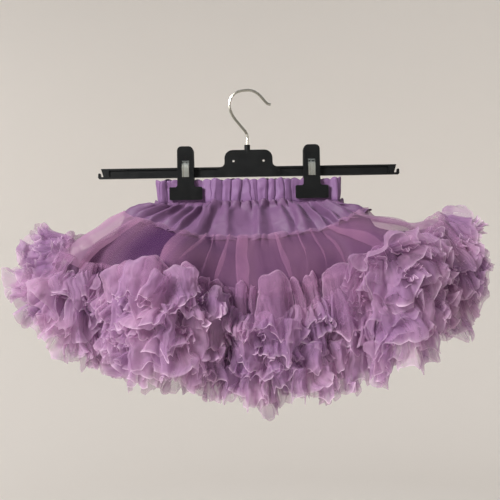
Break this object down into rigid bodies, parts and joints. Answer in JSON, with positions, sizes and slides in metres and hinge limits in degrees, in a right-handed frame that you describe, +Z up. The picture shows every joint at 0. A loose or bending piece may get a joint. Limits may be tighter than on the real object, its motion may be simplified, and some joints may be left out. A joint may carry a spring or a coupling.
{
  "type": "tulle skirt on clip hanger",
  "caption": "Child's layered tulle petticoat skirt with a gathered elastic waist, a smooth yoke and dense ruffles, held flat at the waist in the two clips of a hanger.",
  "frame": {"origin": "the hang point: underside of the hook's crown, where the hanger hangs on a rod or wall hook", "axes": "+Z up, +X along the hanger bar to the right as seen from the front, -Y out of the skirt's front"},
  "size_m": [0.553, 0.1981, 0.3499],
  "materials": {
    "hanger_plastic": "black moulded plastic, slight sheen",
    "hook_wire": "chromed steel wire",
    "spring_steel": "bright spring steel strip",
    "satin": "lilac satin jersey, soft sheen",
    "lining": "violet lining, matt",
    "tulle": "lilac soft tulle, sheer",
    "ruffle_tulle": "lilac soft tulle, gathered in layers"
  },
  "bodies": {
    "root": {"hanger_bar": "hanger_plastic", "hanger_hook": "hook_wire", "clip_left_front": "hanger_plastic", "clip_left_back": "hanger_plastic", "clip_left_spring": "spring_steel", "clip_right_front": "hanger_plastic", "clip_right_back": "hanger_plastic", "clip_right_spring": "spring_steel", "waistband_front": "satin", "waistband_back": "satin", "yoke": "satin", "lining": "lining", "upper_tier": "tulle", "lower_tier": "tulle", "ruffle_row_1": "ruffle_tulle", "ruffle_row_2": "ruffle_tulle", "ruffle_row_3": "ruffle_tulle"}
  },
  "joints": []
}
